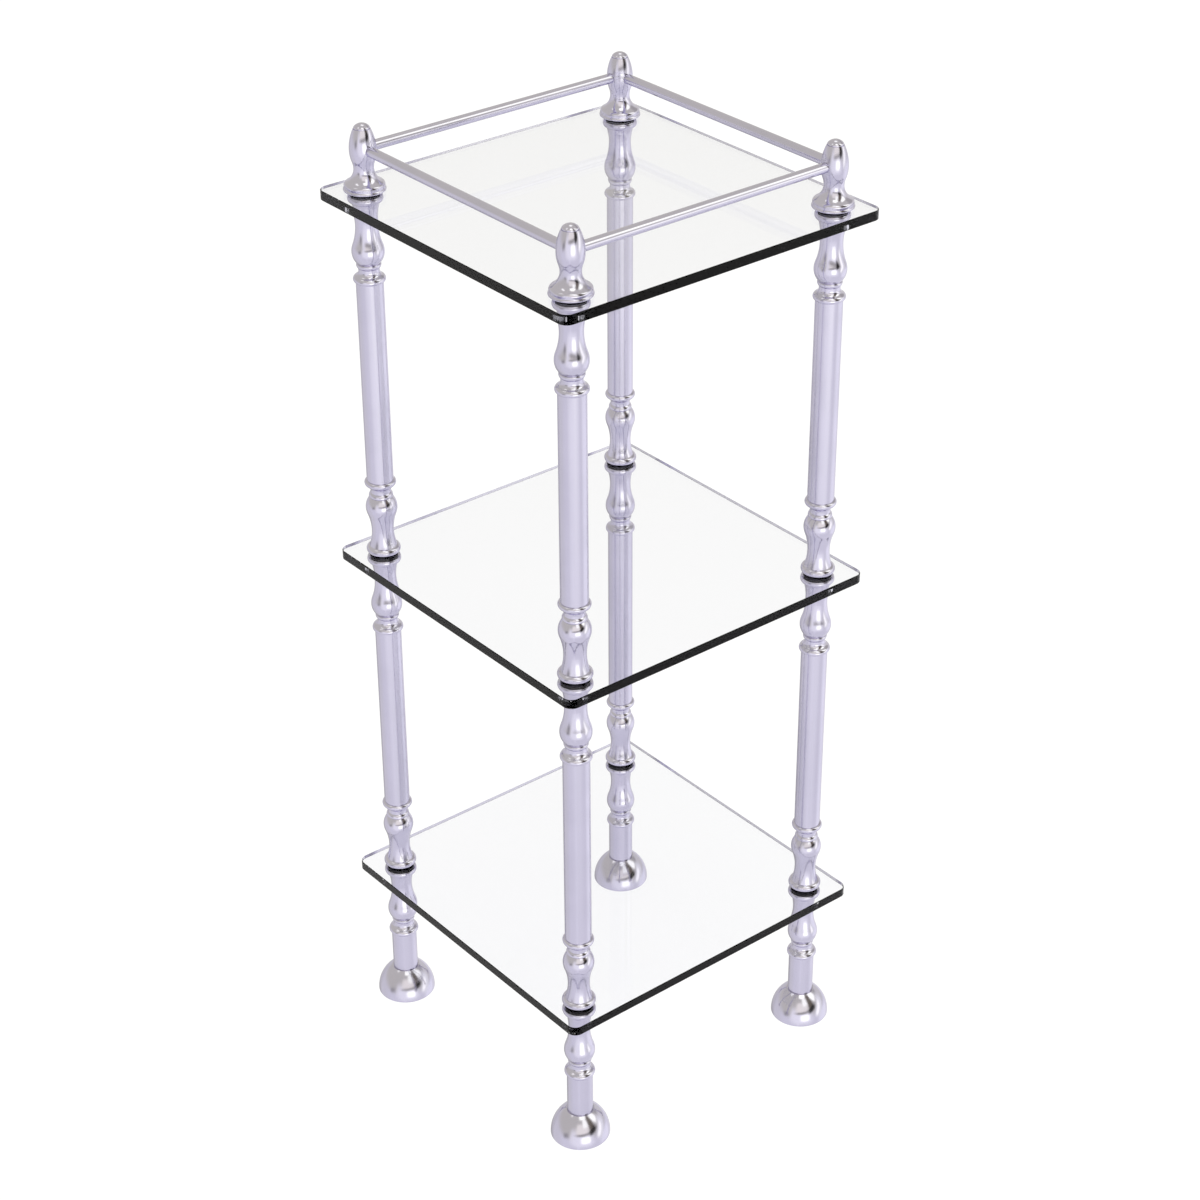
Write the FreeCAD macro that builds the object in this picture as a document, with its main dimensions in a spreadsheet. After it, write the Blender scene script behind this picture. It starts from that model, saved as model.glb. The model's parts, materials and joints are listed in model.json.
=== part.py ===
import FreeCAD, Part
import math
import os
import Sketcher

# Etagere: three square glass shelves clamped between turned posts, on domed feet,
# with a gallery rail round the top shelf. Millimetres, +Z up, -Y is the front.
# The origin is on the floor under the middle of the shelves.

doc = FreeCAD.newDocument("Etagere")
sizes = doc.addObject("Spreadsheet::Sheet", "Sizes")

DRIVING_SIZES = [
    # shelves and their heights
    ("shelf_side", 355.6),
    ("shelf_corner_radius", 9.5),
    ("shelf_arris", 0.5),
    ("glass_thickness", 9.525),
    ("low_shelf_height", 153.0),
    ("shelf_pitch", 367.2),
    ("post_inset", 31.2),
    # fits shared by everything that seats in something else
    ("fit_gap", 0.05),
    ("glass_hole_gap", 1.0),
    # cushions under the glass and washers over it, set back from the collar's face
    ("cushion_setback", 2.0),
    ("cushion_thickness", 1.2),
    ("washer_thickness", 0.6),
    # studs that pass through the glass
    ("stud_radius", 3.97),
    ("stud_grip", 16.0),
    ("stud_end_gap", 0.5),
    # post tubes
    ("tube_radius", 12.7),
    ("tube_wall", 1.3),
    # turned collar, radii
    ("collar_face_radius", 15.3),
    ("flange_swell", 0.95),
    ("flange_end_radius", 13.0),
    ("neck_radius", 10.5),
    ("bulb_radius", 15.05),
    ("bulb_end_radius", 10.6),
    ("ring_swell", 0.9),
    ("groove_radius", 9.75),
    ("bead_swell", 2.3),
    # turned collar, lengths one after another from the face that clamps the glass
    ("flange_rise", 2.6),
    ("flange_fall", 4.0),
    ("neck_run", 15.8),
    ("bulb_run", 25.3),
    ("neck_share", 0.74),
    ("bulb_fall", 11.0),
    ("ring_rise", 1.3),
    ("ring_fall", 3.6),
    ("groove_run", 2.4),
    ("bead_rise", 8.2),
    ("bead_share", 0.58),
    ("bead_fall", 2.6),
    ("spigot_length", 14.0),
    # finial, radii
    ("finial_face_radius", 18.7),
    ("finial_bead_swell", 0.65),
    ("bell_step", 0.15),
    ("finial_neck_radius", 9.2),
    ("acorn_radius", 12.3),
    ("acorn_end_radius", 7.8),
    ("button_groove_step", 0.8),
    ("button_step", 0.4),
    ("button_edge", 0.7),
    # finial, lengths one after another from the face that clamps the glass
    ("finial_bead_rise", 0.9),
    ("finial_bead_fall", 1.8),
    ("bell_rim", 2.0),
    ("bell_fall", 15.3),
    ("bell_share", 0.18),
    ("acorn_rise", 17.3),
    ("acorn_share", 0.36),
    ("acorn_fall", 19.7),
    ("button_gap", 0.5),
    ("button_rise", 1.5),
    ("crown_rise", 2.7),
    # gallery rails: how far above the acorn's widest place, and the metal left between two sockets
    ("rail_radius", 4.7625),
    ("rail_wall", 1.0),
    ("rail_lift", 1.1),
    ("rail_web", 0.8),
    # feet
    ("foot_radius", 29.3),
    ("foot_rim_swell", 0.7),
    ("foot_rim_rise", 0.8),
    ("foot_rim_width", 3.2),
    ("foot_height", 29.5),
    ("foot_lip", 1.1),
    ("foot_recess_wall", 7.8),
    ("foot_web", 4.0),
    ("socket_depth", 14.0),
    # plug in the end of each leg and the screw that holds the foot to it
    ("plug_length", 12.0),
    ("screw_radius", 3.0),
    ("screw_head_radius", 5.5),
    ("screw_head_height", 3.2),
    ("screw_length", 14.0),
]

for row, (alias, value) in enumerate(DRIVING_SIZES, start=1):
    sizes.set(f"A{row}", alias.replace("_", " "))
    sizes.set(f"B{row}", str(value))
    sizes.setAlias(f"B{row}", alias)
doc.recompute()


def total(*names):
    """Sum of named sizes, as an expression."""
    return "(" + " + ".join(f"Sizes.{name}" for name in names) + ")"


# Places and sizes worked out from the driving sizes
POST = "(Sizes.shelf_side / 2 - Sizes.post_inset)"
TUBE_BORE = "(Sizes.tube_radius - Sizes.tube_wall)"
TUBE_INSIDE_FIT = f"({TUBE_BORE} - Sizes.fit_gap)"
STUD_BORE = total("stud_radius", "fit_gap")
GLASS_HOLE = total("stud_radius", "glass_hole_gap")
CUSHION_RADIUS = "(Sizes.collar_face_radius - Sizes.cushion_setback)"
COLLAR_LENGTH = total(
    "flange_rise", "flange_fall", "neck_run", "bulb_run", "bulb_fall",
    "ring_rise", "ring_fall", "groove_run", "bead_rise", "bead_fall",
)
TUBE_LENGTH = (
    "(Sizes.shelf_pitch - Sizes.glass_thickness - Sizes.cushion_thickness"
    f" - Sizes.washer_thickness - 2 * {COLLAR_LENGTH})"
)
RAIL_HEIGHT = total(
    "finial_bead_rise", "finial_bead_fall", "bell_rim", "bell_fall", "acorn_rise", "rail_lift",
)
RAIL_STOP = total("rail_radius", "fit_gap", "rail_web")
LEG_TOP = f"(Sizes.low_shelf_height - Sizes.cushion_thickness - {COLLAR_LENGTH})"
SOCKET_FLOOR = "(Sizes.foot_height - Sizes.socket_depth)"
FOOT_RECESS = f"({SOCKET_FLOOR} - Sizes.foot_web)"
FOOT_BASE = "(Sizes.foot_radius - Sizes.foot_rim_swell)"
SCREW_HOLE = total("screw_radius", "fit_gap")

SHELVES = ["bottom", "middle", "top"]
POSTS = {
    # name: side in X, side in Y, turn that points the rail sockets at the neighbours
    "front_left": (-1, -1, 0),
    "front_right": (1, -1, 90),
    "back_right": (1, 1, 180),
    "back_left": (-1, 1, 270),
}


def underside(shelf):
    return f"(Sizes.low_shelf_height + {SHELVES.index(shelf)} * Sizes.shelf_pitch)"


def seat_under(shelf):
    """Height of the collar face below a shelf."""
    return f"({underside(shelf)} - Sizes.cushion_thickness)"


def seat_over(shelf):
    """Height of the collar or finial face above a shelf."""
    return f"({underside(shelf)} + Sizes.glass_thickness + Sizes.washer_thickness)"


# Drawing helpers
def origin_feature(body, role):
    return next(item for item in body.Origin.OriginFeatures if item.Role == role)


def new_body(label):
    body = doc.addObject("PartDesign::Body", label)
    body.Label = label
    return body


def new_sketch(body, plane, name):
    sketch = body.newObject("Sketcher::SketchObject", name)
    sketch.AttachmentSupport = (origin_feature(body, plane), [""])
    sketch.MapMode = "FlatFace"
    return sketch


def place(item, x="0", y="0", z="0", angle=0, flipped=False):
    rotation = FreeCAD.Rotation(FreeCAD.Vector(0, 0, 1), angle)
    if flipped:
        rotation = rotation.multiply(FreeCAD.Rotation(FreeCAD.Vector(1, 0, 0), 180))
    item.Placement = FreeCAD.Placement(FreeCAD.Vector(0, 0, 0), rotation)
    for axis, expression in (("x", x), ("y", y), ("z", z)):
        item.setExpression(f"Placement.Base.{axis}", expression)


def place_on_post(item, post, height, angle=0, flipped=False):
    side_x, side_y, _ = POSTS[post]
    place(item, f"{side_x} * {POST}", f"{side_y} * {POST}", height, angle, flipped)


def tie(sketch, constraint, expression):
    """Add a dimension to a sketch and bind it to the sizes."""
    index = sketch.addConstraint(constraint)
    sketch.setExpression(f"Constraints[{index}]", expression)


def draw_circle(sketch, radius, x="0", y="0"):
    centre = FreeCAD.Vector(sizes.evalExpression(x), sizes.evalExpression(y), 0)
    up = FreeCAD.Vector(0, 0, 1)
    circle = sketch.addGeometry(Part.Circle(centre, up, sizes.evalExpression(radius)))
    tie(sketch, Sketcher.Constraint("Radius", circle, sizes.evalExpression(radius)), radius)
    for direction, axis, expression in (("DistanceX", -2, x), ("DistanceY", -1, y)):
        if expression == "0":
            sketch.addConstraint(Sketcher.Constraint("PointOnObject", circle, 3, axis))
        else:
            value = sizes.evalExpression(expression)
            tie(sketch, Sketcher.Constraint(direction, -1, 1, circle, 3, value), expression)


class TurnedOutline:
    """Half section of a turned piece: corners are (radius, height) pairs of expressions.

    An edge is a straight line or an arc. The arc's centre is level with the edge's first
    corner ("leaves"), level with its last ("arrives"), or on the axis ("crown"), so that
    swells and hollows run smoothly into each other.
    """

    def __init__(self, *corner):
        self.corners = [corner]
        self.edges = []

    def to(self, radius, height, kind="line"):
        self.corners.append((radius, height))
        self.edges.append(kind)

    def climb(self, radius, step, kind="line"):
        """On to a radius, one named length higher than the last corner."""
        self.to(radius, f"{self.corners[-1][1]} + Sizes.{step}", kind)

    def sweep(self, radius, step, share):
        """Two arcs from one swell or hollow to the next, meeting at a named share of the way."""
        start_radius, start_height = self.corners[-1]
        meeting_radius = f"{start_radius} + Sizes.{share} * ({radius} - ({start_radius}))"
        self.to(meeting_radius, f"{start_height} + Sizes.{share} * Sizes.{step}", "leaves")
        self.to(radius, f"{start_height} + Sizes.{step}", "arrives")

    def draw(self, sketch):
        points = [tuple(sizes.evalExpression(value) for value in corner) for corner in self.corners]
        ends = []
        for index, kind in enumerate(self.edges + ["line"]):
            first, last = points[index], points[(index + 1) % len(points)]
            ends.append(self.draw_edge(sketch, kind, first, last))
        for index, corner in enumerate(self.corners):
            before, after = ends[index - 1], ends[index]
            meeting = (before["edge"], before["last"], after["edge"], after["first"])
            sketch.addConstraint(Sketcher.Constraint("Coincident", *meeting))
            self.fix_corner(sketch, after, corner, points[index])

    def draw_edge(self, sketch, kind, first, last):
        if kind == "line":
            line = Part.LineSegment(FreeCAD.Vector(*first, 0), FreeCAD.Vector(*last, 0))
            return {"edge": sketch.addGeometry(line), "first": 1, "last": 2}
        rise = last[1] - first[1]
        reach = last[0] - first[0]
        if kind == "leaves":
            centre = (first[0] + (reach**2 + rise**2) / (2 * reach), first[1])
        elif kind == "arrives":
            centre = (last[0] - (reach**2 + rise**2) / (2 * reach), last[1])
        else:
            centre = (0, last[1] - (reach**2 + rise**2) / (2 * rise))
        angles = [math.atan2(point[1] - centre[1], point[0] - centre[0]) for point in (first, last)]
        up = FreeCAD.Vector(0, 0, 1)
        circle = Part.Circle(FreeCAD.Vector(*centre, 0), up, math.dist(first, centre))
        if (angles[1] - angles[0]) % (2 * math.pi) < math.pi:
            edge = sketch.addGeometry(Part.ArcOfCircle(circle, angles[0], angles[1]))
            ends = {"edge": edge, "first": 1, "last": 2}
        else:
            edge = sketch.addGeometry(Part.ArcOfCircle(circle, angles[1], angles[0]))
            ends = {"edge": edge, "first": 2, "last": 1}
        if kind == "crown":
            sketch.addConstraint(Sketcher.Constraint("PointOnObject", edge, 3, -2))
        else:
            level = ends["first"] if kind == "leaves" else ends["last"]
            sketch.addConstraint(Sketcher.Constraint("Horizontal", edge, 3, edge, level))
        return ends

    def fix_corner(self, sketch, ends, corner, point):
        edge, vertex = ends["edge"], ends["first"]
        for direction, axis, place_in in (("DistanceX", -2, 0), ("DistanceY", -1, 1)):
            if corner[place_in] == "0":
                sketch.addConstraint(Sketcher.Constraint("PointOnObject", edge, vertex, axis))
            else:
                distance = Sketcher.Constraint(direction, -1, 1, edge, vertex, point[place_in])
                tie(sketch, distance, corner[place_in])


def turn(body, outline):
    """Turn an outline about the body's own upright axis."""
    sketch = new_sketch(body, "XZ_Plane", body.Name + "_outline")
    outline.draw(sketch)
    solid = body.newObject("PartDesign::Revolution", body.Name + "_turned")
    solid.Profile = sketch
    solid.ReferenceAxis = (sketch, ["V_Axis"])
    solid.Angle = 360


def pad_circles(body, name, length, radii, plane="XY_Plane", x="0", y="0"):
    """A round bar, or a tube where a second radius is given."""
    sketch = new_sketch(body, plane, name + "_outline")
    for radius in radii:
        draw_circle(sketch, radius, x, y)
    pad = body.newObject("PartDesign::Pad", name)
    pad.Profile = sketch
    pad.setExpression("Length", length)
    return pad


def repeat_round(body, features):
    """One copy at each post."""
    pattern = body.newObject("PartDesign::PolarPattern", body.Name + "_at_posts")
    pattern.Originals = features
    pattern.Axis = (origin_feature(body, "Z_Axis"), [""])
    pattern.Angle = 360
    pattern.Occurrences = len(POSTS)
    body.Tip = pattern


def post_group(label, height, steps):
    """Four identical pieces on the post axes. Each step is a length and its radii."""
    body = new_body(label)
    body.AllowCompound = True
    pads = [
        pad_circles(body, f"{label}_step_{index}", length, radii, x=POST, y=POST)
        for index, (length, radii) in enumerate(steps)
    ]
    repeat_round(body, pads)
    place(body, z=height)
    return body


# Glass
def edges_where(shape, test):
    return [f"Edge{index}" for index, edge in enumerate(shape.Edges, start=1) if test(edge)]


def is_corner_edge(edge):
    """The four standing edges at a shelf's corners."""
    upright = isinstance(edge.Curve, Part.Line) and abs(edge.Curve.Direction.z) > 0.5
    half = sizes.evalExpression("Sizes.shelf_side / 2")
    return upright and math.isclose(abs(edge.CenterOfMass.x), half)


def is_long_side(edge):
    """The straight sides of a shelf's two faces, which lead the chamfer round the corners."""
    half = sizes.evalExpression("Sizes.shelf_side / 2")
    return isinstance(edge.Curve, Part.Line) and edge.Length > half


def glass_shelf(shelf):
    """Square plate, drilled at the posts, with rounded corners and a ground arris."""
    body = new_body(f"glass_shelf_{shelf}")
    square = new_sketch(body, "XY_Plane", body.Name + "_square")
    half = sizes.evalExpression("Sizes.shelf_side / 2")
    signs = ((-1, -1), (1, -1), (1, 1), (-1, 1))
    corners = [FreeCAD.Vector(x * half, y * half, 0) for x, y in signs]
    for index in range(4):
        square.addGeometry(Part.LineSegment(corners[index], corners[(index + 1) % 4]))
    for index, direction in enumerate(("Horizontal", "Vertical", "Horizontal", "Vertical")):
        square.addConstraint(Sketcher.Constraint("Coincident", index, 2, (index + 1) % 4, 1))
        square.addConstraint(Sketcher.Constraint(direction, index))
    square.addConstraint(Sketcher.Constraint("Symmetric", 0, 1, 1, 2, -1, 1))
    tie(square, Sketcher.Constraint("DistanceX", 0, 1, 0, 2, 2 * half), "Sizes.shelf_side")
    tie(square, Sketcher.Constraint("DistanceY", 1, 1, 1, 2, 2 * half), "Sizes.shelf_side")
    plate = body.newObject("PartDesign::Pad", body.Name + "_plate")
    plate.Profile = square
    plate.setExpression("Length", "Sizes.glass_thickness")

    hole_sketch = new_sketch(body, "XY_Plane", body.Name + "_hole_outline")
    draw_circle(hole_sketch, GLASS_HOLE, POST, POST)
    hole = body.newObject("PartDesign::Pocket", body.Name + "_hole")
    hole.Profile = hole_sketch
    hole.setExpression("Length", "Sizes.glass_thickness")
    hole.Reversed = True
    repeat_round(body, [hole])
    drilled = body.Tip
    doc.recompute()

    rounded = body.newObject("PartDesign::Fillet", body.Name + "_corners")
    rounded.Base = (drilled, edges_where(drilled.Shape, is_corner_edge))
    rounded.setExpression("Radius", "Sizes.shelf_corner_radius")
    body.Tip = rounded
    doc.recompute()

    arris = body.newObject("PartDesign::Chamfer", body.Name + "_arris")
    arris.Base = (rounded, edges_where(rounded.Shape, is_long_side))
    arris.setExpression("Size", "Sizes.shelf_arris")
    body.Tip = arris
    place(body, z=underside(shelf))
    return body


def shelf_hardware(shelf):
    """Cushions under the glass, washers over it, and the studs that pass through all of them."""
    ring = (CUSHION_RADIUS, GLASS_HOLE)
    above_glass = f"{underside(shelf)} + Sizes.glass_thickness"
    stud_bottom = f"{seat_under(shelf)} - Sizes.stud_grip"
    stud_top = f"{seat_over(shelf)} + Sizes.stud_grip - Sizes.stud_end_gap"
    stud_length = f"{stud_top} - ({stud_bottom})"
    return [
        post_group(f"glass_cushions_{shelf}", seat_under(shelf), [("Sizes.cushion_thickness", ring)]),
        post_group(f"glass_washers_{shelf}", above_glass, [("Sizes.washer_thickness", ring)]),
        post_group(f"studs_{shelf}", stud_bottom, [(stud_length, ("Sizes.stud_radius",))]),
    ]


# Posts
def collar(post, shelf, over):
    """Turned collar: flange on the glass, neck, bulb, ring, groove, bead, and a spigot in the tube."""
    body = new_body(f"collar_{shelf}_{'over' if over else 'under'}_{post}")
    outline = TurnedOutline(STUD_BORE, "0")
    outline.to("Sizes.collar_face_radius", "0")
    outline.climb(total("collar_face_radius", "flange_swell"), "flange_rise", "arrives")
    outline.climb("Sizes.flange_end_radius", "flange_fall", "leaves")
    outline.climb("Sizes.neck_radius", "neck_run", "arrives")
    outline.sweep("Sizes.bulb_radius", "bulb_run", "neck_share")
    outline.climb("Sizes.bulb_end_radius", "bulb_fall", "leaves")
    outline.climb(total("bulb_end_radius", "ring_swell"), "ring_rise", "arrives")
    outline.climb("Sizes.groove_radius", "ring_fall", "leaves")
    outline.climb("Sizes.groove_radius", "groove_run")
    outline.sweep(total("tube_radius", "bead_swell"), "bead_rise", "bead_share")
    outline.climb("Sizes.tube_radius", "bead_fall", "leaves")
    outline.to(TUBE_INSIDE_FIT, COLLAR_LENGTH)
    outline.climb(TUBE_INSIDE_FIT, "spigot_length")
    outline.to("0", outline.corners[-1][1])
    outline.to("0", "Sizes.stud_grip")
    outline.to(STUD_BORE, "Sizes.stud_grip")
    turn(body, outline)
    place_on_post(body, post, seat_over(shelf) if over else seat_under(shelf), flipped=not over)
    return body


def post_tube(label, post, bottom, length):
    body = new_body(label)
    pad_circles(body, label + "_tube", length, ("Sizes.tube_radius", TUBE_BORE))
    place_on_post(body, post, bottom)
    return body


def foot(post):
    """Domed foot: hollow underneath, with a socket for the leg and a web for the screw."""
    body = new_body(f"foot_{post}")
    socket = total("tube_radius", "fit_gap")
    outline = TurnedOutline(f"{FOOT_BASE} - Sizes.foot_rim_width", "0")
    outline.to(FOOT_BASE, "0")
    outline.to("Sizes.foot_radius", "Sizes.foot_rim_rise", "arrives")
    outline.to(f"{socket} + Sizes.foot_lip", "Sizes.foot_height", "leaves")
    outline.to(socket, "Sizes.foot_height")
    outline.to(socket, SOCKET_FLOOR)
    outline.to(SCREW_HOLE, SOCKET_FLOOR)
    outline.to(SCREW_HOLE, FOOT_RECESS)
    outline.to("Sizes.foot_radius - Sizes.foot_recess_wall", FOOT_RECESS)
    turn(body, outline)
    place_on_post(body, post, "0")
    return body


# Gallery
def finial(post):
    """Turned finial: bead and bell on the glass, neck, acorn body drilled for two rails, button."""
    body = new_body(f"finial_{post}")
    bell = "(Sizes.finial_face_radius - Sizes.bell_step)"
    groove = "(Sizes.acorn_end_radius - Sizes.button_groove_step)"
    button = "(Sizes.acorn_end_radius - Sizes.button_step)"
    outline = TurnedOutline(STUD_BORE, "0")
    outline.to("Sizes.finial_face_radius", "0")
    outline.climb(total("finial_face_radius", "finial_bead_swell"), "finial_bead_rise", "arrives")
    outline.climb(bell, "finial_bead_fall", "leaves")
    outline.climb(bell, "bell_rim")
    outline.sweep("Sizes.finial_neck_radius", "bell_fall", "bell_share")
    outline.sweep("Sizes.acorn_radius", "acorn_rise", "acorn_share")
    outline.climb("Sizes.acorn_end_radius", "acorn_fall", "leaves")
    outline.to(groove, outline.corners[-1][1])
    outline.climb(groove, "button_gap")
    outline.to(button, outline.corners[-1][1])
    outline.climb(f"{button} - Sizes.button_edge", "button_rise", "leaves")
    outline.climb("0", "crown_rise", "crown")
    outline.to("0", "Sizes.stud_grip")
    outline.to(STUD_BORE, "Sizes.stud_grip")
    turn(body, outline)
    rail_socket(body, "YZ_Plane", outwards=1)
    rail_socket(body, "XZ_Plane", outwards=-1)
    place_on_post(body, post, seat_over("top"), angle=POSTS[post][2])
    return body


def rail_socket(body, plane, outwards):
    """Blind round socket for a rail, square to the plane given, from the rail's end outwards."""
    name = f"{body.Name}_socket_{plane[:2]}"
    sketch = new_sketch(body, plane, name + "_outline")
    draw_circle(sketch, total("rail_radius", "fit_gap"), "0", RAIL_HEIGHT)
    sketch.setExpression("AttachmentOffset.Base.z", f"{outwards} * {RAIL_STOP}")
    socket = body.newObject("PartDesign::Pocket", name)
    socket.Profile = sketch
    socket.setExpression("Length", "Sizes.acorn_radius")
    socket.Reversed = outwards > 0


def gallery_rail(label, x, y, angle):
    """Rail tube between two finials, ending on the floors of their sockets."""
    body = new_body(label)
    radii = ("Sizes.rail_radius", "Sizes.rail_radius - Sizes.rail_wall")
    pad_circles(body, label + "_tube", f"2 * ({POST} - {RAIL_STOP})", radii, plane="YZ_Plane")
    place(body, x, y, f"{seat_over('top')} + {RAIL_HEIGHT}", angle)
    return body


# Assembly
pieces = []
for shelf in SHELVES:
    pieces.append(glass_shelf(shelf))
    pieces.extend(shelf_hardware(shelf))

STOREYS = {"bottom": "lower", "middle": "upper"}
for post in POSTS:
    for shelf in SHELVES:
        pieces.append(collar(post, shelf, over=False))
    for shelf, storey in STOREYS.items():
        pieces.append(collar(post, shelf, over=True))
        tube_bottom = f"{seat_over(shelf)} + {COLLAR_LENGTH}"
        pieces.append(post_tube(f"post_tube_{storey}_{post}", post, tube_bottom, TUBE_LENGTH))
    pieces.append(post_tube(f"leg_tube_{post}", post, SOCKET_FLOOR, f"{LEG_TOP} - {SOCKET_FLOOR}"))
    pieces.append(foot(post))
    pieces.append(finial(post))

rail_start = f"-({POST} - {RAIL_STOP})"
pieces.append(gallery_rail("gallery_rail_front", rail_start, f"-{POST}", 0))
pieces.append(gallery_rail("gallery_rail_back", rail_start, POST, 0))
pieces.append(gallery_rail("gallery_rail_left", f"-{POST}", rail_start, 90))
pieces.append(gallery_rail("gallery_rail_right", POST, rail_start, 90))

plug_radii = (TUBE_INSIDE_FIT, SCREW_HOLE)
pieces.append(post_group("leg_plugs", SOCKET_FLOOR, [("Sizes.plug_length", plug_radii)]))
screw_steps = [
    ("Sizes.screw_head_height", ("Sizes.screw_head_radius",)),
    (total("screw_head_height", "screw_length"), ("Sizes.screw_radius",)),
]
screw_bottom = f"{FOOT_RECESS} - Sizes.screw_head_height"
pieces.append(post_group("foot_screws", screw_bottom, screw_steps))

doc.recompute()

# Every feature has to be sound before anything is written
for item in doc.Objects:
    if "Invalid" in item.State or "Error" in item.State:
        raise RuntimeError(f"{item.Label} failed: {item.State}")
for piece in pieces:
    if piece.Shape.isNull() or not piece.Shape.isValid():
        raise RuntimeError(f"{piece.Label} has no sound shape")

os.makedirs("parts", exist_ok=True)
for piece in pieces:
    piece.Shape.exportStep(f"parts/{piece.Label}.step")
    box = piece.Shape.BoundBox
    print(f"{piece.Label}: {len(piece.Shape.Solids)} solids, {piece.Shape.Volume:.0f} mm3,"
          f" z {box.ZMin:.2f} to {box.ZMax:.2f}")
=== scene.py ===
# %% [markdown]
# A tall etagere: three square glass shelves held between turned, lavender-toned chrome posts.
# Every piece was modelled at its real size beforehand, so this lesson is about looks.
# Shapes could be brought in one by one and moved into place, but one call loads them all in the
# frame that they were drawn in: metres, +Z up, -Y the front. Nothing then needs fitting.

# %% Load the model
import json
import math

import bpy
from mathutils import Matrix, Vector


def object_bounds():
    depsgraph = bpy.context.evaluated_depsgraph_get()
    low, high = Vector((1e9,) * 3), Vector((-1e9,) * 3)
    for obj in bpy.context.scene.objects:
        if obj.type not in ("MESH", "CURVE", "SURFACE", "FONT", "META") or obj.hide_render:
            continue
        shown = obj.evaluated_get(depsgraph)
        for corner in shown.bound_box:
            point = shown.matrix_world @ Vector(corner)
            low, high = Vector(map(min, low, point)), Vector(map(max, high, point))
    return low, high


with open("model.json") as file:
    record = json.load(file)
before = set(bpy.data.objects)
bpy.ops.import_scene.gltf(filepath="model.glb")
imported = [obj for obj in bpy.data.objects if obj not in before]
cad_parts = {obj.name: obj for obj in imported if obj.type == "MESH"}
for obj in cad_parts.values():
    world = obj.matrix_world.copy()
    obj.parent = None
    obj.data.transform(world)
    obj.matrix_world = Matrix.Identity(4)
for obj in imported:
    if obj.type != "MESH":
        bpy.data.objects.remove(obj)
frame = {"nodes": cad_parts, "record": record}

cad_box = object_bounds()
nodes = frame["nodes"]
slot_of = {part["node"]: part["material_slot"] for part in frame["record"]["subparts"]}


def rounded(box):
    """A box's two corners in metres, to a tenth of a millimetre."""
    return [tuple(round(v, 4) for v in corner) for corner in box]


print(f"{len(nodes)} pieces, box {rounded(cad_box)}")

# %% [markdown]
# The camera stands where the photograph was taken from. It could be nudged by eye until the
# picture looks right, but then distance and lens drift against each other. Its place, turn and
# focal length were worked out from the straight shelf edges instead.
# The picture's middle isn't quite where the lens pointed, and the small shift covers that.

# %% Camera
PICTURE_SIDE = 1200
FOCAL_LENGTH_PIXELS = 2680.1
LENS_AXIS_PIXEL = (625.2, 612.4)
SENSOR_WIDTH = 36.0
CAMERA_PLACE = (-1.3918, -1.7215, 1.7956)
CAMERA_TURN = 0.691
CAMERA_TILT_DOWN = 0.539

camera_data = bpy.data.cameras.new("photo_camera")
camera_data.sensor_width = SENSOR_WIDTH
camera_data.lens = FOCAL_LENGTH_PIXELS * SENSOR_WIDTH / PICTURE_SIDE
camera_data.shift_x = (PICTURE_SIDE / 2 - LENS_AXIS_PIXEL[0]) / PICTURE_SIDE
camera_data.shift_y = (LENS_AXIS_PIXEL[1] - PICTURE_SIDE / 2) / PICTURE_SIDE
camera = bpy.data.objects.new("photo_camera", camera_data)
camera.location = CAMERA_PLACE
camera.rotation_euler = (math.pi / 2 - CAMERA_TILT_DOWN, 0, -CAMERA_TURN)
bpy.context.scene.collection.objects.link(camera)
bpy.context.scene.camera = camera
bpy.context.scene.view_settings.view_transform = "Standard"
print(f"lens {camera_data.lens:.1f} mm, shift {camera_data.shift_x:.4f}, {camera_data.shift_y:.4f}")


# %% [markdown]
# Finishes and light are trees of nodes. They could be wired by hand in the shader editor, but a
# tree written in code can be read, repeated and changed in one place. Three helpers keep it short:
# one adds a node, one feeds an input from a value or from another node, and one does sums.

# %% Node helpers
def add_node(tree, kind, inputs=None, **settings):
    """A new node. Inputs are values, or sockets to link from, by the input's name or number."""
    node = tree.nodes.new(kind)
    for name, value in settings.items():
        setattr(node, name, value)
    for name, value in (inputs or {}).items():
        feed(tree, node.inputs[name], value)
    return node


def feed(tree, socket, value):
    """Link an input to another node's socket, or else set it to a value."""
    if isinstance(value, bpy.types.NodeSocket):
        tree.links.new(value, socket)
    else:
        socket.default_value = value


def maths(tree, operation, *values):
    node = add_node(tree, "ShaderNodeMath", dict(enumerate(values)), operation=operation)
    return node.outputs[0]


# %% [markdown]
# A real finish is never one flat colour: it changes a little from place to place. Noise gives the
# change, a ramp says how much of it counts, and a mix turns it into colour. A picture of the
# surface could do the same, but it has to be wrapped round each piece and blurs in a close view.

# %% Finish helpers
NOISE_RANGE = (0.3, 0.7)


def noise(tree, place, spots_per_metre, detail=2.0):
    """Soft random spots, about this many to a metre, mostly in NOISE_RANGE."""
    inputs = {"Vector": place, "Scale": spots_per_metre, "Detail": detail}
    return add_node(tree, "ShaderNodeTexNoise", inputs).outputs[0]


def ramp_between(tree, value, start, end, low=0.0, high=1.0):
    """A smooth step from low to high as the value goes from start to end."""
    inputs = {"Value": value, "From Min": start, "From Max": end, "To Min": low, "To Max": high}
    node = add_node(tree, "ShaderNodeMapRange", inputs, interpolation_type="SMOOTHSTEP")
    return node.outputs["Result"]


def mix_colours(tree, share, first, second):
    """The first colour where the share is 0, and the second where it is 1."""
    # A mix node has sockets for every kind of value: inputs 6 and 7 and output 2 are the colours.
    node = add_node(tree, "ShaderNodeMix", {0: share, 6: first, 7: second}, data_type="RGBA")
    return node.outputs[2]


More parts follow.
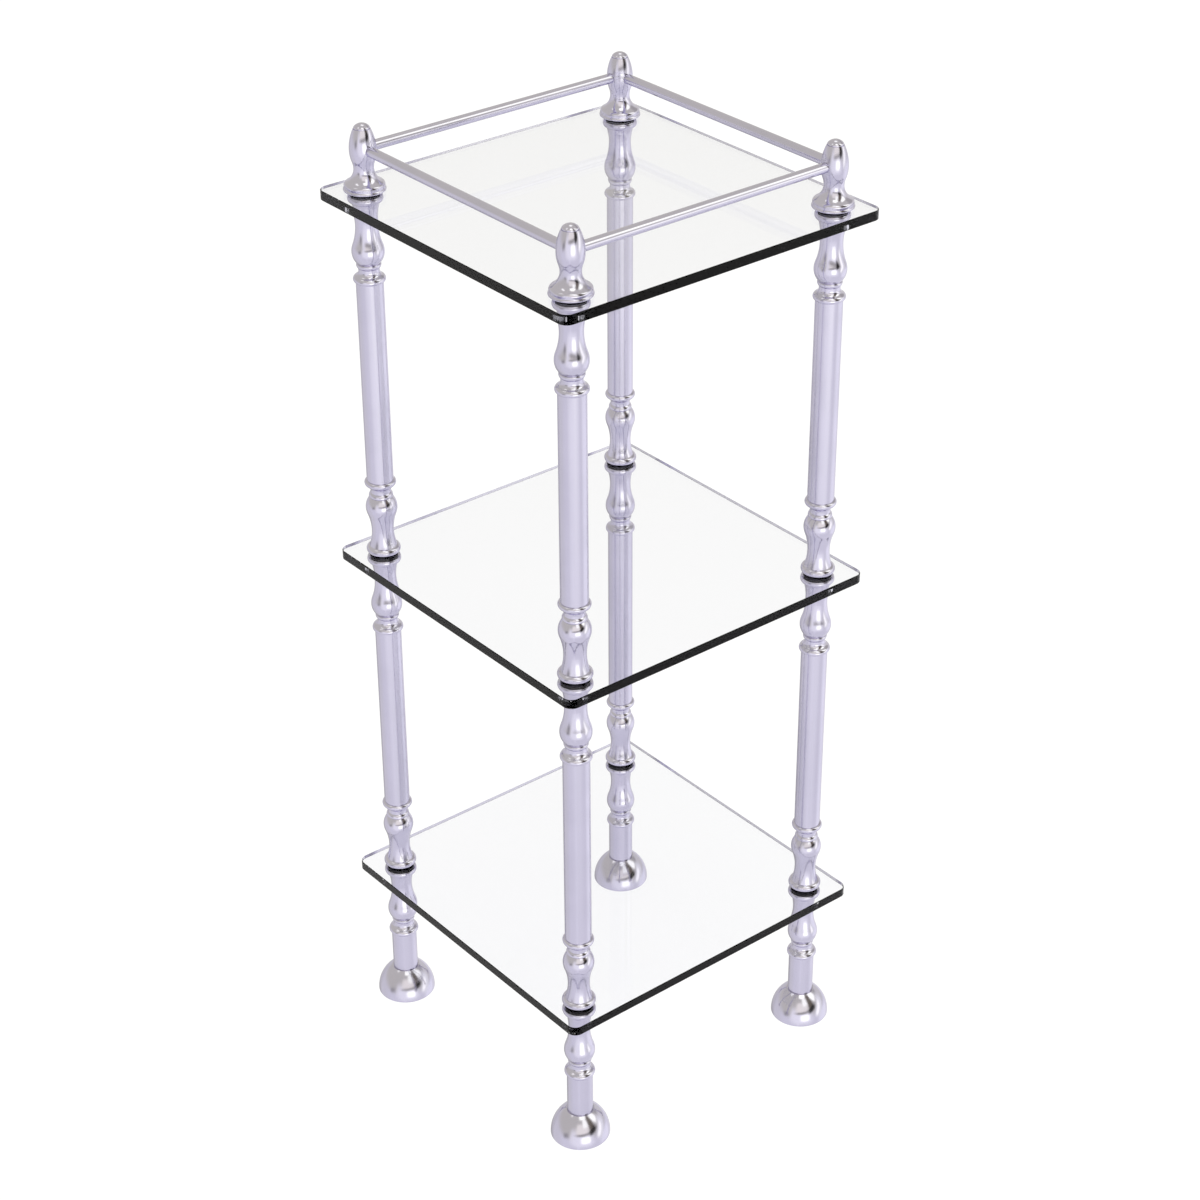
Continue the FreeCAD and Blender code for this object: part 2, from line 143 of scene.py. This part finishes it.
def new_material(name):
    """A new material, its tree, its shader, and the place on the piece in metres."""
    material = bpy.data.materials.new(name)
    material.use_nodes = True
    tree = material.node_tree
    place = add_node(tree, "ShaderNodeTexCoord").outputs["Object"]
    return material, tree, tree.nodes["Principled BSDF"], place


def tell(*materials):
    for material in materials:
        print(f"{material.name}: {len(material.node_tree.nodes)} nodes")


# %% [markdown]
# Polished chrome on turned brass: nearly a mirror, with a lavender cast. A lathe leaves fine rings
# round every collar, finial and foot, a fraction of a millimetre apart, and handling leaves a faint
# haze. So many rings would be too many faces. Noise that is drawn out along X and Y changes almost
# only with height, so it makes them, and as a bump it tilts the surface by a trace.
# A second, soft noise makes the haze.

# %% Turned chrome
CHROME_COLOUR = (0.632, 0.612, 0.750, 1)
CHROME_CLOUD_COLOUR = (0.612, 0.594, 0.730, 1)
CLOUDS_PER_METRE = 28
CLOUD_DETAIL = 4.0
CLOUD_RANGE = (0.35, 0.70)
WEAR_RANGE = (0.1, 0.8)
RINGS_PER_METRE = 3500
RING_DEPTH = 0.000004
MARK_STRENGTH = 0.25
DRAWN_OUT = 0.004
POLISH_ROUGHNESS = (0.10, 0.17)


def chrome(name, mark_stretch, marks_per_metre, roughness, mark_depth):
    """Polished metal whose fine marks run along the axes that mark_stretch draws out."""
    material, tree, surface, place = new_material(name)
    stretched = add_node(tree, "ShaderNodeMapping", {"Vector": place, "Scale": mark_stretch})
    marks = noise(tree, stretched.outputs[0], marks_per_metre)
    clouds = noise(tree, place, CLOUDS_PER_METRE, CLOUD_DETAIL)
    cloud_share = ramp_between(tree, clouds, *CLOUD_RANGE)
    half_marks = maths(tree, "MULTIPLY", marks, 0.5)
    half_clouds = maths(tree, "MULTIPLY", cloud_share, 0.5)
    wear = maths(tree, "ADD", half_marks, half_clouds)
    bump = add_node(tree, "ShaderNodeBump",
                    {"Height": marks, "Strength": MARK_STRENGTH, "Distance": mark_depth})
    base = mix_colours(tree, cloud_share, CHROME_COLOUR, CHROME_CLOUD_COLOUR)
    feed(tree, surface.inputs["Base Color"], base)
    feed(tree, surface.inputs["Roughness"], ramp_between(tree, wear, *WEAR_RANGE, *roughness))
    feed(tree, surface.inputs["Normal"], bump.outputs[0])
    surface.inputs["Metallic"].default_value = 1.0
    return material


turned_chrome = chrome(
    "turned_chrome", (DRAWN_OUT, DRAWN_OUT, 1.0), RINGS_PER_METRE, POLISH_ROUGHNESS, RING_DEPTH)
tell(turned_chrome)

# %% [markdown]
# The tubes and rails are drawn through a die and then plated. The die leaves shallow lines
# lengthways, and they split the reflections in a tube into faint streaks. The lines could be
# modelled, but the same chrome does it with the noise drawn out along each tube's own direction.
# The tubes are left a little duller than the rails, which are polished like the turned pieces.

# %% Drawn chrome
TUBE_ROUGHNESS = (0.18, 0.27)
DIE_LINES_PER_METRE = 420
DIE_LINE_DEPTH = 0.0003


def drawn_chrome(way, stretch, roughness):
    name = f"drawn_chrome_{way}"
    return chrome(name, stretch, DIE_LINES_PER_METRE, roughness, DIE_LINE_DEPTH)


drawn_upright = drawn_chrome("upright", (1.0, 1.0, DRAWN_OUT), TUBE_ROUGHNESS)
drawn_along_x = drawn_chrome("along_x", (DRAWN_OUT, 1.0, 1.0), POLISH_ROUGHNESS)
drawn_along_y = drawn_chrome("along_y", (1.0, DRAWN_OUT, 1.0), POLISH_ROUGHNESS)
tell(drawn_upright, drawn_along_x, drawn_along_y)

# %% [markdown]
# The shelves are clear plate glass with ground and polished edges. The faces are smooth with a
# trace of smear, and the edges are a little rougher. Faces and edges could be given a material
# each, but the way that the surface faces tells them apart in one. The near edges need no dark
# paint: light bounces along inside a thick plate and hardly any comes back out of them.
# The faces hardly shine in the photograph, so the specular tint tones their reflection down.

# %% Glass
GLASS_TINT = (0.987, 0.990, 0.995, 1)
GLASS_DEPTH_TINT = (0.80, 0.80, 0.85, 1)
GLASS_DENSITY = 30.0
GLASS_SHINE = (0.08, 0.08, 0.09, 1)
GLASS_IOR = 1.5
UPRIGHT_RANGE = (0.9, 0.5)
SMEARS_PER_METRE = 12.0
SMEAR_DETAIL = 6.0
SMEAR_RANGE = (0.55, 0.80)
SMEAR_ROUGHNESS = (0.0, 0.012)
EDGE_GRAINS_PER_METRE = 900.0
EDGE_ROUGHNESS = (0.01, 0.03)

plate_glass, tree, surface, place = new_material("plate_glass")
geometry = add_node(tree, "ShaderNodeNewGeometry")
facing = add_node(tree, "ShaderNodeSeparateXYZ", {0: geometry.outputs["True Normal"]})
is_edge = ramp_between(tree, maths(tree, "ABSOLUTE", facing.outputs[2]), *UPRIGHT_RANGE)
smears = noise(tree, place, SMEARS_PER_METRE, SMEAR_DETAIL)
face_roughness = ramp_between(tree, smears, *SMEAR_RANGE, *SMEAR_ROUGHNESS)
grains = noise(tree, place, EDGE_GRAINS_PER_METRE)
grain_roughness = ramp_between(tree, grains, *NOISE_RANGE, *EDGE_ROUGHNESS)
edge_roughness = maths(tree, "MULTIPLY", is_edge, grain_roughness)
surface.inputs["Transmission Weight"].default_value = 1.0
surface.inputs["IOR"].default_value = GLASS_IOR
surface.inputs["Specular Tint"].default_value = GLASS_SHINE
depth = add_node(tree, "ShaderNodeVolumeAbsorption",
                 {"Color": GLASS_DEPTH_TINT, "Density": GLASS_DENSITY})
tree.links.new(depth.outputs[0], tree.nodes["Material Output"].inputs["Volume"])
tell(plate_glass)

# %% [markdown]
# Seen through a shelf's top face, its two far edges are lavender-grey lines. Past the critical
# angle an edge throws back all the light that meets it from inside, like a mirror, and perfect
# glass would show the pale floor there. A ground edge blurs what it throws back. Its lavender tint
# is painted reflection: it stands in for a lavender-grey ground seen in the edges.
# Paint on the edges would colour the near ones too, so a share of tinted mirror is mixed in, but
# only from inside, past that angle, and on the outer edges, not in the holes for the studs.

# %% Glass edges from inside
# Painted reflection: the edge mirror's lavender tint stands in for the lavender-grey ground that it
# shows.
EDGE_MIRROR_PAINTED_TINT = (0.72, 0.69, 0.93, 1)
EDGE_MIRROR_SHARE = 0.65
EDGE_MIRROR_BLUR = 0.20
EDGE_MARGIN = 0.0078
NEARLY_ALL = 0.99

# The shelves are the widest pieces, so the model's box gives half their side.
inner_reach = cad_box[1][0] - EDGE_MARGIN
x, y = add_node(tree, "ShaderNodeSeparateXYZ", {0: place}).outputs[:2]
reach = maths(tree, "MAXIMUM", maths(tree, "ABSOLUTE", x), maths(tree, "ABSOLUTE", y))
outer_edge = maths(tree, "MULTIPLY", is_edge, maths(tree, "GREATER_THAN", reach, inner_reach))
from_inside = maths(tree, "MULTIPLY", outer_edge, geometry.outputs["Backfacing"])
thrown_back = add_node(tree, "ShaderNodeFresnel", {"IOR": GLASS_IOR}).outputs[0]
past_critical = maths(tree, "GREATER_THAN", thrown_back, NEARLY_ALL)
mirror_place = maths(tree, "MULTIPLY", from_inside, past_critical)
mirror = maths(tree, "MULTIPLY", mirror_place, EDGE_MIRROR_SHARE)
blur = maths(tree, "ADD", edge_roughness, maths(tree, "MULTIPLY", mirror, EDGE_MIRROR_BLUR))
# The mirror is real, but its lavender tint is painted reflection.
feed(tree, surface.inputs["Base Color"], mix_colours(tree, mirror, GLASS_TINT, EDGE_MIRROR_PAINTED_TINT))
feed(tree, surface.inputs["Metallic"], mirror)
feed(tree, surface.inputs["Roughness"], maths(tree, "ADD", face_roughness, blur))
tell(plate_glass)

# %% [markdown]
# Thin black rubber keeps metal off the glass. It shows as a dark crescent under each collar.
# Plain black would look like a gap, and rubber is never quite black: it has a fine grain and a
# dull shine, and one noise gives both.

# %% Rubber
RUBBER_DARK = (0.006, 0.006, 0.007, 1)
RUBBER_PALE = (0.020, 0.0195, 0.022, 1)
RUBBER_ROUGHNESS = (0.35, 0.55)
RUBBER_GRAINS_PER_METRE = 1400.0
RUBBER_GRAIN_DETAIL = 3.0

cushion_rubber, tree, surface, place = new_material("cushion_rubber")
grains = noise(tree, place, RUBBER_GRAINS_PER_METRE, RUBBER_GRAIN_DETAIL)
feed(tree, surface.inputs["Base Color"], mix_colours(tree, grains, RUBBER_DARK, RUBBER_PALE))
feed(tree, surface.inputs["Roughness"], ramp_between(tree, grains, *NOISE_RANGE, *RUBBER_ROUGHNESS))
tell(cushion_rubber)

# %% [markdown]
# Studs, plugs and screws are plain turned steel. They could share the chrome, but bare steel is
# darker and duller, and the studs can be seen through the glass, so they get a finish of their own.

# %% Steel
STEEL_DARK = (0.28, 0.28, 0.29, 1)
STEEL_PALE = (0.44, 0.44, 0.45, 1)
STEEL_ROUGHNESS = (0.25, 0.40)
TURNING_LINES_PER_METRE = 2500.0
TURNING_STRETCH = (0.01, 0.01, 1.0)

fastener_steel, tree, surface, place = new_material("fastener_steel")
turning = add_node(tree, "ShaderNodeMapping", {"Vector": place, "Scale": TURNING_STRETCH})
lines = noise(tree, turning.outputs[0], TURNING_LINES_PER_METRE)
feed(tree, surface.inputs["Base Color"], mix_colours(tree, lines, STEEL_DARK, STEEL_PALE))
feed(tree, surface.inputs["Roughness"], ramp_between(tree, lines, *NOISE_RANGE, *STEEL_ROUGHNESS))
surface.inputs["Metallic"].default_value = 1.0
tell(fastener_steel)

# %% [markdown]
# Each piece takes its finish from its material slot in the record. Setting them one by one would
# be a long list, and a new piece would be forgotten. Rails are the one exception: their marks
# follow the way they lie.

# %% Give every piece its finish
FINISHES = {
    "polished_chrome": turned_chrome,
    "satin_chrome": drawn_upright,
    "clear_glass": plate_glass,
    "cushion_rubber": cushion_rubber,
    "fastener_steel": fastener_steel,
}
RAIL_FINISHES = {
    "gallery_rail_front": drawn_along_x,
    "gallery_rail_back": drawn_along_x,
    "gallery_rail_left": drawn_along_y,
    "gallery_rail_right": drawn_along_y,
}
for name, piece in nodes.items():
    finish = RAIL_FINISHES.get(name, FINISHES[slot_of[name]])
    piece.data.materials.clear()
    piece.data.materials.append(finish)
print(f"finishes on {len(nodes)} pieces")

# %% [markdown]
# Chrome shows what is round it, so the studio is half of its finish: warm grey walls, a pale
# ground, soft boxes that give the metal its white streaks, and dark flags that give the narrow
# dark streaks beside them. Lamps could light the stand too, but metal shows where a lamp stands.
# A studio drawn by direction is far away, and its streaks stay in line from foot to finial.

# %% Studio panels
WALL_LIGHT = (0.70, 0.68, 0.59, 1)
GROUND_LIGHT = (0.915, 0.900, 0.930, 1)
STUDIO_PANELS = [
    # Azimuth, elevation, half width, half height, edge and lean in degrees, and the light's colour.
    # Azimuth 0 is behind the stand, 90 on its right, 180 in front of it and 270 on its left.
    ("ground_shade", 345, -34, 48, 38, 36, 0, (0.84, 0.825, 0.82, 1)),
    ("far_ground_shade", 8, -34, 27, 34, 24, 0, (0.70, 0.685, 0.68, 1)),
    ("near_ground_shade", 24, -46, 32, 17, 20, 0, (0.52, 0.51, 0.50, 1)),
    ("ground_glow", 113, -26, 24, 13, 15, 0, (1.15, 1.14, 1.16, 1)),
    ("ground_streak", 226, -40, 6, 16, 7, 0, (1.00, 0.98, 1.01, 1)),
    ("right_glow", 80, 8, 25, 13, 16, 0, (0.84, 0.82, 0.76, 1)),
    ("right_wall_shade", 82, 31, 25, 11, 12, 0, (0.52, 0.50, 0.45, 1)),
    ("upper_side_panel", 131, 42, 15, 16, 8, 22, (1.75, 1.78, 1.50, 1)),
    ("far_lamp", 45, 65, 23, 10, 10, 0, (1.60, 1.62, 1.38, 1)),
    ("lower_side_glow", 127, 2, 27, 16, 18, 38, (1.12, 1.12, 1.06, 1)),
    ("lower_side_panel", 136, 0, 20, 7, 10, 42, (1.60, 1.60, 1.42, 1)),
    ("near_fade", 241, 3, 15, 20, 26, 0, (1.12, 1.10, 1.06, 1)),
    ("near_panel", 209, 28, 28, 18, 16, 0, (1.18, 1.13, 0.98, 1)),
    ("near_lamp", 192, 47, 13, 15, 11, 0, (1.55, 1.57, 1.34, 1)),
    ("overhead_panel", 198, 70, 33, 10, 9, 0, (1.90, 1.92, 1.62, 1)),
    ("left_lamp", 303, 60, 10, 7, 7, 0, (1.60, 1.60, 1.38, 1)),
    ("low_glow", 210, -12, 40, 20, 26, 0, (1.17, 1.16, 1.15, 1)),
    ("low_panel", 199, -9, 15, 10, 15, 0, (2.15, 2.17, 1.87, 1)),
    ("panel_gap", 207, 10, 29, 4, 18, 4, (0.48, 0.46, 0.41, 1)),
    ("dark_flag", 162, 38, 12, 26, 12, -12, (0.18, 0.15, 0.11, 1)),
    ("dark_flag_foot", 165, 14, 18, 8, 12, 18, (0.03, 0.028, 0.025, 1)),
    ("left_shade", 274, -3, 9, 6, 15, 25, (0.40, 0.39, 0.37, 1)),
]
print(f"{len(STUDIO_PANELS)} panels of light and shade")

# %% [markdown]
# Every direction has an azimuth and an elevation in degrees, and a panel is a soft patch of them.
# Two ramps multiplied together would leave it boxy. A sum of fourth powers gives an outline
# between a circle and a rectangle, like a soft box, and one ramp across it fades the edge.

# %% Panel outlines
world = bpy.data.worlds.new("studio")
bpy.context.scene.world = world
world.use_nodes = True
tree = world.node_tree
direction = add_node(tree, "ShaderNodeTexCoord").outputs["Generated"]
east, north, height = add_node(tree, "ShaderNodeSeparateXYZ", {0: direction}).outputs
azimuth_seen = maths(tree, "DEGREES", maths(tree, "ARCTAN2", east, north))
elevation_seen = maths(tree, "DEGREES", maths(tree, "ARCSINE", height))


def turned(aside, above, lean):
    """The two offsets from a panel's middle, measured along a panel that leans."""
    across, up = math.cos(math.radians(lean)), math.sin(math.radians(lean))
    offsets = []
    for aside_share, above_share in ((across, -up), (up, across)):
        from_aside = maths(tree, "MULTIPLY", aside, aside_share)
        from_above = maths(tree, "MULTIPLY", above, above_share)
        offsets.append(maths(tree, "ADD", from_aside, from_above))
    return offsets


def panel_mask(azimuth, elevation, half_width, half_height, edge, lean):
    """How far a direction lies inside a panel with round corners, from 0 outside to 1 inside."""
    aside = maths(tree, "WRAP", maths(tree, "SUBTRACT", azimuth_seen, azimuth), 180, -180)
    above = maths(tree, "SUBTRACT", elevation_seen, elevation)
    if lean:
        aside, above = turned(aside, above, lean)
    fourths = []
    for offset, half in ((aside, half_width), (above, half_height)):
        ratio = maths(tree, "DIVIDE", offset, half)
        square = maths(tree, "MULTIPLY", ratio, ratio)
        fourths.append(maths(tree, "MULTIPLY", square, square))
    radius = maths(tree, "POWER", maths(tree, "ADD", *fourths), 0.25)
    soft = edge / (half_width + half_height)
    return ramp_between(tree, radius, 1 + soft, max(1 - soft, 0))


print(f"{world.name}: {len(tree.nodes)} nodes so far, to read the direction")

# %% [markdown]
# The panels go over walls and ground one after another, like paint, and later ones cover earlier
# ones. Each layer's node carries its panel's name, so it can be found in the shader editor.
# Behind the stand the camera sees plain white, also through glass. A white backdrop could stand
# there, but the metal would show it, and would lose its streaks. So only a ray that no mirror has
# turned sees white, and a turned one sees the studio, even if it goes through glass after that.

# %% Studio on the world
GROUND_TO_WALL = (-0.35, 0.12)
WHITE = (1, 1, 1, 1)


def unturned(tree):
    """1 for a ray that no mirror has turned, and 0 for any other."""
    depth = add_node(tree, "ShaderNodeLightPath").outputs["Glossy Depth"]
    return maths(tree, "LESS_THAN", depth, 0.5)


def plain_view(tree):
    """1 for a camera ray, or one through glass, that no mirror has turned, and 0 for any other."""
    rays = add_node(tree, "ShaderNodeLightPath").outputs
    looking = maths(tree, "MAXIMUM", rays["Is Camera Ray"], rays["Is Transmission Ray"])
    return maths(tree, "MULTIPLY", looking, unturned(tree))


studio = mix_colours(tree, ramp_between(tree, height, *GROUND_TO_WALL), GROUND_LIGHT, WALL_LIGHT)
for name, *outline, light in STUDIO_PANELS:
    studio = mix_colours(tree, panel_mask(*outline), studio, light)
    studio.node.label = name
background = tree.nodes["Background"]
feed(tree, background.inputs["Color"], mix_colours(tree, plain_view(tree), studio, WHITE))
background.inputs["Strength"].default_value = 1.0
print(f"{world.name}: {len(tree.nodes)} nodes")

# %% [markdown]
# A plain pale floor. To the camera and through the glass it is white with the stand's faint
# shadow: mostly an even glow, with a share of ordinary diffuse paper that takes the shadow.
# Paper alone would come out grey, or need more light, and that would bleach the metal.
# Rays that a mirror has turned go through the floor, because the studio has a ground of its own.

# %% Floor
FLOOR_HALF_SIDE = 14.0
SHADOW_SHARE = 0.14
GLOW_STRENGTH = 1.12
PAPER_DARK = (0.90, 0.90, 0.90, 1)
PAPER_PALE = (0.93, 0.93, 0.93, 1)
PAPER_ROUGHNESS = 0.9
FIBRES_PER_METRE = 60.0
SQUARE = ((-1, -1), (1, -1), (1, 1), (-1, 1))

floor_mesh = bpy.data.meshes.new("floor")
corners = [(x * FLOOR_HALF_SIDE, y * FLOOR_HALF_SIDE, 0) for x, y in SQUARE]
floor_mesh.from_pydata(corners, [], [(0, 1, 2, 3)])
floor = bpy.data.objects.new("floor", floor_mesh)
bpy.context.scene.collection.objects.link(floor)
floor.visible_glossy = False

paper, tree, surface, place = new_material("pale_floor")
fibres = noise(tree, place, FIBRES_PER_METRE)
feed(tree, surface.inputs["Base Color"], mix_colours(tree, fibres, PAPER_DARK, PAPER_PALE))
surface.inputs["Roughness"].default_value = PAPER_ROUGHNESS
glow = add_node(tree, "ShaderNodeEmission", {"Color": WHITE, "Strength": GLOW_STRENGTH})
share = maths(tree, "MULTIPLY", plain_view(tree), 1 - SHADOW_SHARE)
lit = add_node(tree, "ShaderNodeMixShader", {0: share, 1: surface.outputs[0], 2: glow.outputs[0]})
open_floor = add_node(tree, "ShaderNodeBsdfTransparent").outputs[0]
mirrored = maths(tree, "SUBTRACT", 1, unturned(tree))
either = add_node(tree, "ShaderNodeMixShader", {0: mirrored, 1: lit.outputs[0], 2: open_floor})
tree.links.new(either.outputs[0], tree.nodes["Material Output"].inputs["Surface"])
floor_mesh.materials.append(paper)
